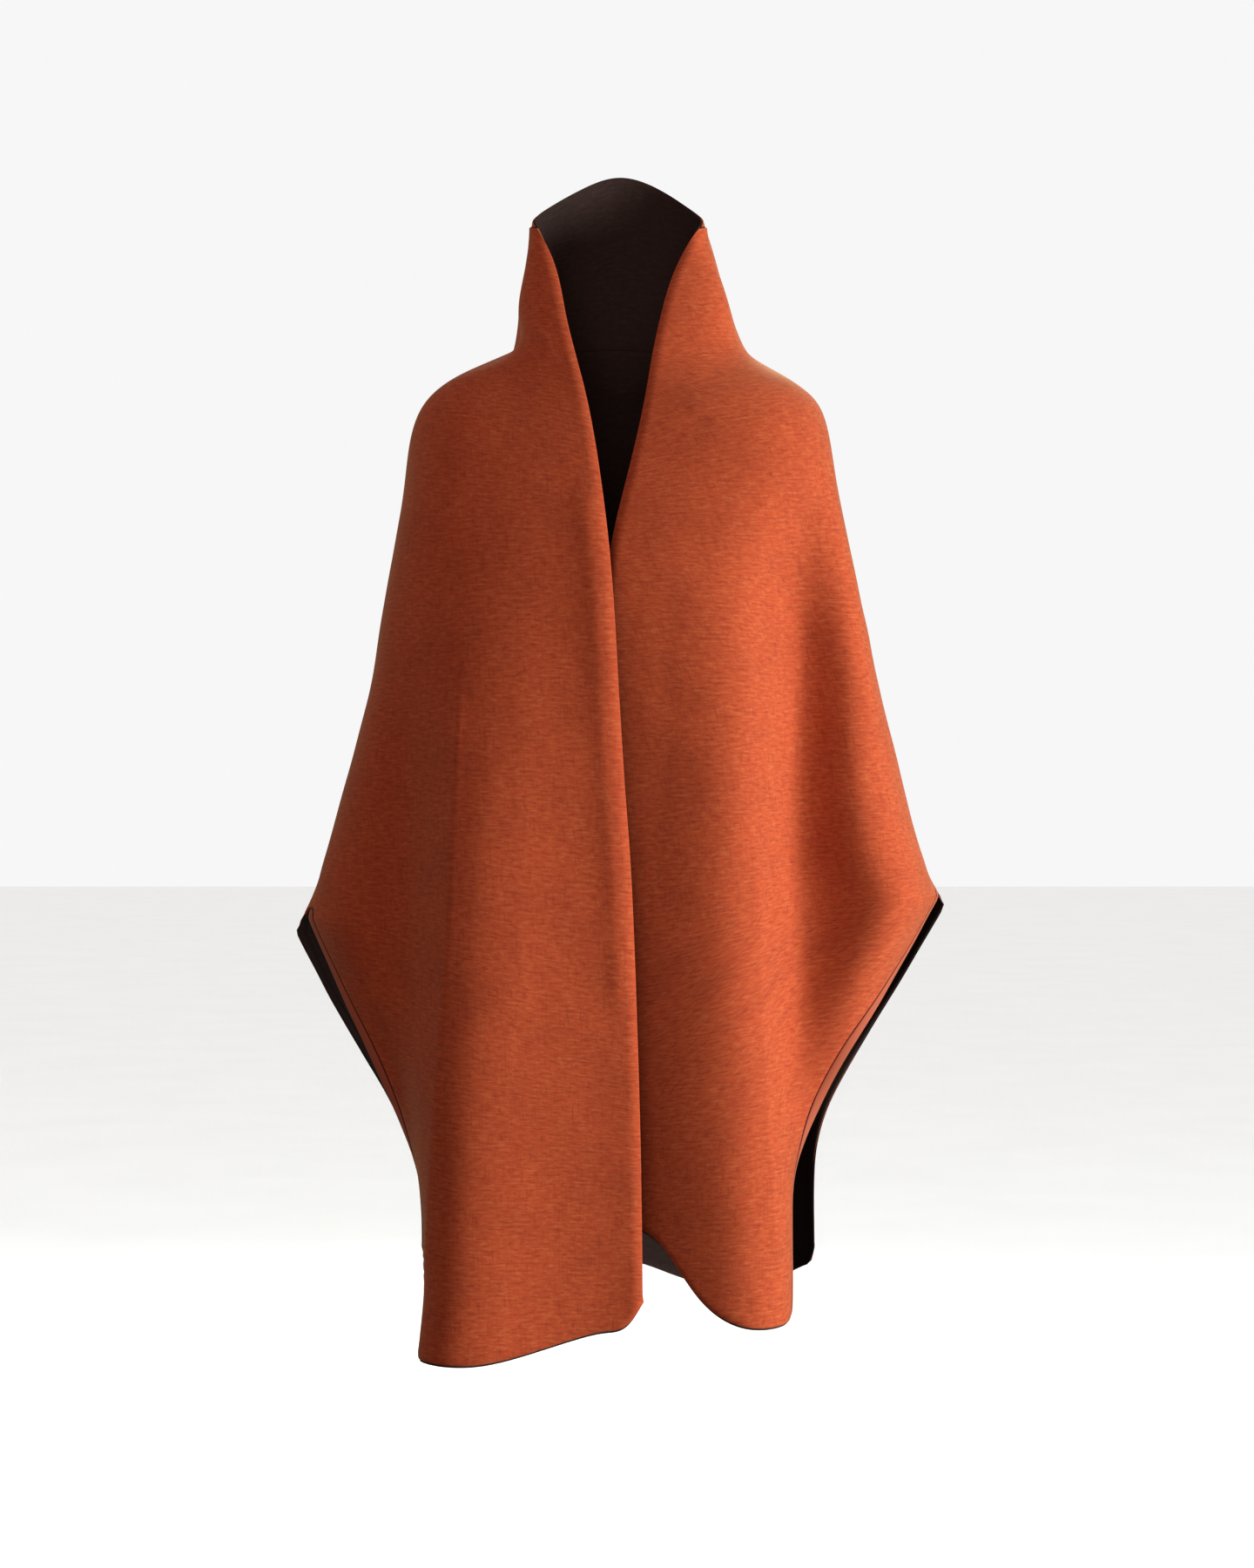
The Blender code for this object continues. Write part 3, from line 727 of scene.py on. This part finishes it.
# %% Panel grids
Panel = namedtuple("Panel", "name guides ring_start hem open_sides centre_edge middle_columns")
FRONT_COLUMNS = 104
BACK_COLUMNS = 150
LEFT_START = ring.shape[1] - 1 - LAST_GUIDE
PANELS = (
    Panel("front_right", right_guides, 0, RIGHT_HEM, (False, True), 0, FRONT_COLUMNS),
    Panel("front_left", left_guides[:, ::-1], LEFT_START, LEFT_HEM, (True, False), -1, FRONT_COLUMNS),
    Panel("back", back_line, LAST_GUIDE, BACK_HEM, (True, True), None, BACK_COLUMNS),
)
FAR_FROM_SIDE = 50.0
DRAW_IN = 3.6
DRAW_IN_REACH = 40.0
DRAW_IN_FADE = 8.0
DRAW_IN_ABOVE_WRIST = 9.0


def outward(grid):
    normal = np.cross(np.gradient(grid, axis=1), np.gradient(grid, axis=0))
    return normal / np.linalg.norm(normal, axis=2, keepdims=True)


def end_distance(lengths, sides):
    """How far each point lies, along its row, from the ends that count as sides."""
    near = np.full(lengths.shape, FAR_FROM_SIDE)
    if sides[0]:
        near = np.minimum(near, lengths)
    if sides[1]:
        near = np.minimum(near, lengths[:, -1:] - lengths)
    return near


def side_distance(stops, levels, sides):
    """How far each point lies from an open side edge. Above the wrist there is none."""
    above = np.clip(knots[WRIST_LEVEL] - levels, 0, None)[:, None]
    return np.minimum(np.hypot(end_distance(stops, sides), above), FAR_FROM_SIDE)


def seam_distance(lengths, rows, sides):
    """How far each point lies from the seam over the arm. Below the wrist the seam has ended."""
    return np.hypot(end_distance(lengths, sides), np.clip(rows - knots[WRIST_LEVEL], 0, None))


def draw_in(cut, lengths, rows):
    """The back's face cloth with its open sides drawn in, so the inside cloth wraps past them."""
    drawn = cut.copy()
    below = np.clip((rows[:, 0] - knots[WRIST_LEVEL] + DRAW_IN_ABOVE_WRIST) / DRAW_IN_FADE, 0, 1)
    for i in np.nonzero(below)[0]:
        stops = lengths[i]
        from_end = stops[-1] - stops
        ease = np.clip(1 - stops / DRAW_IN_REACH, 0, 1) - np.clip(1 - from_end / DRAW_IN_REACH, 0, 1)
        moved = stops + DRAW_IN * below[i] * ease
        drawn[i] = np.stack([np.interp(moved, stops, cut[i, :, axis]) for axis in range(3)], axis=1)
    return drawn


def build_panel(panel, raised, row_step, middle_columns):
    """The finished inside surface of a panel, cut at its hem, with all that the cloths need."""
    surface = panel_surface(panel.guides, panel.ring_start, dense_levels)
    spaced = [respace(row, middle_columns) for row in surface]
    grid = np.array([row for row, _ in spaced])
    stops = np.array([stop for _, stop in spaced])
    from_side = side_distance(stops, dense_levels, panel.open_sides)
    ends = hem_levels(grid, dense_levels, panel.hem, from_side)
    rows = cut_rows(ends, raised, row_step)
    cut = at_levels(grid, dense_levels, rows)
    lengths = at_levels(stops[..., None], dense_levels, rows)[..., 0]
    from_side = at_levels(from_side[..., None], dense_levels, rows)[..., 0]
    from_hem = (ends - raised)[None, :] - rows
    from_seam = seam_distance(lengths, rows, panel.open_sides)
    relief = crease_relief(panel.name, cut) * smooth(np.clip(from_seam / SEAM_CALM, 0, 1))
    relief += swell(cut[..., 0] + SWELL_ROUND * cut[..., 1], rows) + seam_dip(from_seam)
    if panel.name == "back":
        relief += seam_dip(rows - knots[NECK_LEVEL])
    relief += stitched_groove(from_side)
    relief += edge_roll(from_hem, HEM_ROLL_REACH, HEM_ROLL_DEPTH)
    if panel.name == "back" and raised:
        cut = draw_in(cut, lengths, rows)
    elif panel.name == "back":
        relief -= edge_roll(from_side, WRAP_REACH, WRAP_HEIGHT)
    if panel.centre_edge is not None:
        from_centre = np.abs(lengths - lengths[:, panel.centre_edge][:, None])
        relief += edge_roll(from_centre, ROLL_REACH, ROLL_DEPTH)
    return cut, lengths, rows, from_side, relief


print("panels:", [panel.name for panel in PANELS])

# %% [markdown]
# The three panels are worked out together, because neighbours share a seam. Along it they get the
# same points and the same outward direction, so that the surface runs on without a step. The
# back's upper rows become a piece of their own, the back of the collar, which stands up from the
# neck seam. The face cloths end a few millimetres above the hems of the inside cloths, and the
# inside cloths, of which little shows, have fewer rows and columns.

# %% Seams between the panels
Cloth = namedtuple("Cloth", "grid normals lengths rows from_side")
LINING_SHOWS = 2.5
FACE_ROW_STEP = 3.6
LINING_ROW_STEP = 6.0
LINING_COLUMN_SHARE = 0.55


def build_cloths(raised, row_step, column_share):
    built = {
        panel.name: build_panel(panel, raised, row_step, round(panel.middle_columns * column_share))
        for panel in PANELS
    }
    grids, normals = {}, {}
    for name, (cut, _, _, _, relief) in built.items():
        base = outward(cut)
        grids[name] = cut + base * relief[..., None]
        normals[name] = outward(grids[name])
    neck_row = round(knots[NECK_LEVEL] / row_step)
    sewn = knots[WRIST_LEVEL] - knots[NECK_LEVEL] - DRAW_IN_ABOVE_WRIST
    seams = np.s_[:neck_row + round(sewn / row_step)]
    for first, i, second, j in (("front_right", -1, "back", 0), ("back", -1, "front_left", 0)):
        both = normals[first][seams, i] + normals[second][seams, j]
        both /= np.linalg.norm(both, axis=1, keepdims=True)
        normals[first][seams, i] = both
        normals[second][seams, j] = both
        level_both = (grids[first][seams, i] + grids[second][seams, j]) / 2
        grids[first][seams, i] = level_both
        grids[second][seams, j] = level_both
    cloths = {}
    for name, (_, lengths, rows, from_side, _) in built.items():
        cloths[name] = Cloth(grids[name], normals[name], lengths, rows, from_side)
    whole_back = cloths["back"]
    cloths["collar_back"] = Cloth(*(part[:neck_row + 1] for part in whole_back))
    cloths["back"] = Cloth(*(part[neck_row:] for part in whole_back))
    return cloths


face_cloths = build_cloths(LINING_SHOWS, FACE_ROW_STEP, 1.0)
lining_cloths = build_cloths(0.0, LINING_ROW_STEP, LINING_COLUMN_SHARE)
for name, cloth in face_cloths.items():
    print(name, "grid", cloth.grid.shape[:2])

# %% [markdown]
# Each cloth starts as a plain bmesh grid with as many rows and columns as the panel, and every
# point is then laid on the drape. A Solidify modifier gives the cloth its thickness and a small
# Bevel rounds the cut edges, as fulled wool has no sharp ones. The UV map holds real metres along
# the weft and the warp, and one attribute holds the distance from the open side.

# %% Cloth pieces
FACE_CLOTH = 1.4
LINING_CLOTH = 1.3
BETWEEN_CLOTHS = 0.3
EDGE_ROUND = 0.55
EDGE_ROUND_STEPS = 2
EDGE_SHARP = math.radians(55)
slots = {"face": ("rust_wool", rust_wool), "lining": ("dark_brown_wool", brown_wool)}


def add_piece(name, mesh_data, material, group=None):
    mesh = bpy.data.meshes.new(name)
    mesh_data.to_mesh(mesh)
    mesh_data.free()
    mesh.materials.append(material)
    piece = bpy.data.objects.new(name, mesh)
    (group or bpy.context.scene.collection).objects.link(piece)
    return piece


def lay_cloth(name, cloth, start, thickness, material):
    rows, columns = cloth.grid.shape[:2]
    points = (cloth.grid + cloth.normals * (start + thickness / 2)) * MM
    mesh_data = bmesh.new()
    bmesh.ops.create_grid(mesh_data, x_segments=columns - 1, y_segments=rows - 1, size=0.5)
    mesh_data.verts.ensure_lookup_table()
    for vertex, point in zip(mesh_data.verts, points.reshape(-1, 3)):
        vertex.co = point
    from_side = mesh_data.verts.layers.float.new("mm_from_side")
    for vertex, distance in zip(mesh_data.verts, cloth.from_side.reshape(-1)):
        vertex[from_side] = distance
    metres = mesh_data.loops.layers.uv.new("cloth_metres")
    across = cloth.lengths.reshape(-1) * MM
    down = cloth.rows.reshape(-1) * MM
    for face in mesh_data.faces:
        face.smooth = True
        for loop in face.loops:
            loop[metres].uv = (across[loop.vert.index], down[loop.vert.index])
    area = sum(face.calc_area() for face in mesh_data.faces)
    piece = add_piece(name, mesh_data, material)
    wall = piece.modifiers.new("cloth_thickness", "SOLIDIFY")
    wall.thickness = thickness * MM
    wall.offset = 0.0
    rounding = piece.modifiers.new("soft_edges", "BEVEL")
    rounding.width = EDGE_ROUND * MM
    rounding.segments = EDGE_ROUND_STEPS
    rounding.limit_method = "ANGLE"
    rounding.angle_limit = EDGE_SHARP
    print(f"{name}: {len(piece.data.polygons)} faces on one side, {area:.3f} m2")
    return piece


pieces = {}
for name, cloth in face_cloths.items():
    start = LINING_CLOTH + BETWEEN_CLOTHS
    pieces[name] = lay_cloth(name + "_face_cloth", cloth, start, FACE_CLOTH, slots["face"][1])
for name, cloth in lining_cloths.items():
    pieces[name + "_lining"] = lay_cloth(name + "_inside_cloth", cloth, 0.0, LINING_CLOTH, slots["lining"][1])

# %% [markdown]
# The open sides are closed with a row of lockstitch, about 10 mm in from the edge, which holds the
# two cloths together and makes the narrow strip seen in the photograph. Every stitch is a small
# stretched ball of thread lying in the groove, with the needle hole's gap before the next one.

# %% Edge stitching
STITCH_PITCH = 4.4
STITCH_LENGTH = 3.3
STITCH_THICK = 1.1
STITCH_SIDES = 8
STITCH_RINGS = 6
STITCH_COLUMN = EDGE_COLUMNS.index(GROOVE_FROM_EDGE)


def stitch_row(mesh_data, path, normals):
    """A row of stitches along a path of points, all in millimetres."""
    along = chords(path)
    middles = np.arange(STITCH_PITCH, along[-1] - STITCH_PITCH, STITCH_PITCH)
    for middle in middles:
        ends = [
            Vector([np.interp(middle + half, along, path[:, axis]) for axis in range(3)])
            for half in (-STITCH_LENGTH / 2, STITCH_LENGTH / 2)
        ]
        out = Vector([np.interp(middle, along, normals[:, axis]) for axis in range(3)]).normalized()
        way = (ends[1] - ends[0]).normalized()
        side = way.cross(out).normalized()
        turn = Matrix((side, way.cross(side), way)).transposed().to_4x4()
        place = Matrix.Translation((ends[0] + ends[1]) / 2 * MM)
        sizes = Matrix.Diagonal((STITCH_THICK / 2 * MM, STITCH_THICK / 2 * MM, STITCH_LENGTH / 2 * MM, 1.0))
        bmesh.ops.create_uvsphere(
            mesh_data, u_segments=STITCH_SIDES, v_segments=STITCH_RINGS, radius=1.0,
            matrix=place @ turn @ sizes,
        )
    return len(middles)


def add_stitches(name, cloth, open_sides, first_row):
    surface_height = LINING_CLOTH + BETWEEN_CLOTHS + FACE_CLOTH
    outside = cloth.grid + cloth.normals * surface_height
    mesh_data = bmesh.new()
    count = 0
    for is_open, column in zip(open_sides, (STITCH_COLUMN, -1 - STITCH_COLUMN)):
        if is_open:
            count += stitch_row(mesh_data, outside[first_row:, column], cloth.normals[first_row:, column])
    for face in mesh_data.faces:
        face.smooth = True
    piece = add_piece(name + "_stitches", mesh_data, thread)
    print(piece.name, count, "stitches")
    return piece


stitches = {}
for panel in PANELS:
    cloth = face_cloths[panel.name]
    first_row = int(np.argmax(cloth.rows[:, 0] >= knots[WRIST_LEVEL]))
    stitches[panel.name] = add_stitches(panel.name, cloth, panel.open_sides, first_row)

# %% [markdown]
# The floor is a plain pale sheet, as far below the cape as it would be under a standing wearer. A
# lamp of its own, which lights nothing else, keeps it pale without lighting the cape from above.
# The floor doesn't throw light back up either, because the photograph shows none from below.

# %% Floor
FLOOR_BELOW_SHOULDERS = 1.40
FLOOR_HALF = 30.0
FLOOR_ROUGHNESS = 0.9
FLOOR_GRAIN_SCALE = 3.0
FLOOR_LAMP_STRENGTH = 3.1
FLOOR_LAMP_SPREAD = math.radians(60)
# Matt white paint: no shine, and only the faintest unevenness.
floor_paint, floor_tree, floor_shader = new_material("pale_matt_paint")
floor_place = add_node(floor_tree, "ShaderNodeTexCoord", {}).outputs["Object"]
floor_grain = add_node(
    floor_tree, "ShaderNodeTexNoise", {"Vector": floor_place, "Scale": FLOOR_GRAIN_SCALE},
).outputs[0]
floor_colour = mix_colours(floor_tree, floor_grain, linear("#E9E8E6"), linear("#EFEEEC"))
set_inputs(floor_tree, floor_shader, {"Base Color": floor_colour, "Roughness": FLOOR_ROUGHNESS})
floor_data = bmesh.new()
floor_low = Matrix.Translation((0, 0, -FLOOR_BELOW_SHOULDERS))
bmesh.ops.create_grid(floor_data, x_segments=1, y_segments=1, size=FLOOR_HALF, matrix=floor_low)
floor_group = bpy.data.collections.new("floor_only")
bpy.context.scene.collection.children.link(floor_group)
floor = add_piece("floor", floor_data, floor_paint, floor_group)
floor.visible_diffuse = False
floor.visible_glossy = False
floor_lamp_data = bpy.data.lights.new("floor_lamp", "SUN")
floor_lamp_data.energy = FLOOR_LAMP_STRENGTH
floor_lamp_data.angle = FLOOR_LAMP_SPREAD
floor_lamp = bpy.data.objects.new("floor_lamp", floor_lamp_data)
bpy.context.scene.collection.objects.link(floor_lamp)
floor_lamp.light_linking.receiver_collection = floor_group
print("floor at", -FLOOR_BELOW_SHOULDERS)

# %% [markdown]
# Last, the solid that each cloth stands for is hidden. The cloths are cut flat from the bolt and
# only hang, so their area hardly changes. All of them ride on the cape's one body.

# %% Hand over to the frame
for name in face_cloths:
    face, inside = pieces[name], pieces[name + "_lining"]
    for piece, node, slot in ((face, name, "face"), (inside, name + "_lining", "lining")):
        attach(piece, "root")
        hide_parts(node)
for piece in stitches.values():
    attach(piece, "root")
